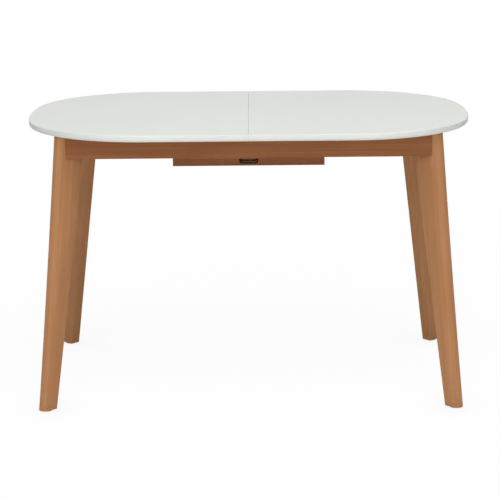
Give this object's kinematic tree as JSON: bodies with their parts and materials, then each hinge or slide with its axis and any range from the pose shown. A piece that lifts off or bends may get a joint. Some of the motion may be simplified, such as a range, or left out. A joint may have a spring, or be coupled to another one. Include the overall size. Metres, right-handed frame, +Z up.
{
  "type": "extending dining table",
  "caption": "Extending dining table: white oval top in two sliding halves over a folded leaf in a tray, on splayed, tapered wooden legs.",
  "frame": {"origin": "on the floor, under the middle of the top, where the seam crosses the long centre line", "axes": "+X along the table's length, the way the right half slides; +Y from the front, with the finger slot, to the back; +Z up"},
  "size_m": [1.2, 0.8, 0.75],
  "materials": {
    "white_lacquer": "white satin lacquer on fibreboard",
    "stained_beech": "honey-brown stain under satin lacquer",
    "plain_beech": "planed, unstained",
    "plywood": "sanded birch plywood",
    "birch_dowel": "turned, fluted",
    "zinc_steel": "bright zinc plate",
    "extruded_aluminium": "mill finish, drawn",
    "white_nylon": "moulded nylon",
    "felt": "pressed wool felt",
    "hinge_brass": "brushed brass plate",
    "bronzed_steel": "dark bronzed steel"
  },
  "bodies": {
    "frame": {"leg_front_left": "stained_beech", "corner_block_front_left": "plain_beech", "leg_front_right": "stained_beech", "corner_block_front_right": "plain_beech", "leg_rear_left": "stained_beech", "corner_block_rear_left": "plain_beech", "leg_rear_right": "stained_beech", "corner_block_rear_right": "plain_beech", "apron_front": "stained_beech", "apron_rear": "stained_beech", "apron_left": "stained_beech", "apron_right": "stained_beech", "tray_front_board": "stained_beech", "tray_rear_board": "stained_beech", "tray_side_left": "stained_beech", "tray_side_right": "stained_beech", "tray_rail_front": "stained_beech", "tray_rail_rear": "stained_beech", "apron_packing_strips": "stained_beech", "cross_rail_left": "plain_beech", "cross_rail_right": "plain_beech", "tray_floor": "plywood", "leaf_lower_half": "white_lacquer", "leg_bolts": "zinc_steel", "leg_washers": "zinc_steel", "leg_nuts": "zinc_steel", "tray_screws": "zinc_steel", "carrier_screws": "zinc_steel", "pinion_axles": "zinc_steel", "axle_clips": "zinc_steel", "carrier_front": "extruded_aluminium", "carrier_rear": "extruded_aluminium", "foot_glides": "felt", "top_glide_pads": "felt", "leaf_felt_strips": "felt", "leaf_dowels_lower": "birch_dowel", "leaf_hinge_plates_lower": "hinge_brass", "leaf_hinge_pins": "hinge_brass", "latch_bracket": "bronzed_steel", "latch_pin": "bronzed_steel"},
    "top_left": {"top_left": "white_lacquer", "runner_left_front": "extruded_aluminium", "runner_left_rear": "extruded_aluminium", "rack_left_front": "white_nylon", "rack_left_rear": "white_nylon", "runner_screws_left": "zinc_steel", "seam_dowels": "birch_dowel"},
    "top_right": {"top_right": "white_lacquer", "runner_right_front": "extruded_aluminium", "runner_right_rear": "extruded_aluminium", "rack_right_front": "white_nylon", "rack_right_rear": "white_nylon", "runner_screws_right": "zinc_steel"},
    "pinion_front": {"pinion_front": "white_nylon"},
    "pinion_rear": {"pinion_rear": "white_nylon"},
    "latch": {"latch_lever": "bronzed_steel"},
    "leaf_flap": {"leaf_upper_half": "white_lacquer", "leaf_hinge_plates_upper": "hinge_brass", "leaf_dowels_upper": "birch_dowel"}
  },
  "joints": [
    {"name": "top_left_slide", "type": "slide", "parent": "frame", "child": "top_left", "axis": [-1, 0, 0], "range_m": [0, 0.15]},
    {"name": "top_right_slide", "type": "slide", "parent": "frame", "child": "top_right", "axis": [1, 0, 0], "range_m": [0, 0.15]},
    {"name": "pinion_front_spin", "type": "hinge", "parent": "frame", "child": "pinion_front", "pos_m": [0, -0.2405, 0.7095], "axis": [0, 0, 1], "range_deg": [-960, 0]},
    {"name": "pinion_rear_spin", "type": "hinge", "parent": "frame", "child": "pinion_rear", "pos_m": [0, 0.2405, 0.7095], "axis": [0, 0, 1], "range_deg": [-960, 0]},
    {"name": "latch_rock", "type": "hinge", "parent": "frame", "child": "latch", "pos_m": [0, -0.2473, 0.694], "axis": [1, 0, 0], "range_deg": [0, 20]},
    {"name": "leaf_fold", "type": "hinge", "parent": "frame", "child": "leaf_flap", "pos_m": [0, 0.2, 0.677], "axis": [-1, 0, 0], "range_deg": [0, 5]}
  ],
  "couplings": [
    {"joint": "top_right_slide", "follows": "top_left_slide", "ratio": 1},
    {"joint": "pinion_front_spin", "follows": "top_left_slide", "rad_per_m": -111.11},
    {"joint": "pinion_rear_spin", "follows": "top_left_slide", "rad_per_m": -111.11}
  ]
}
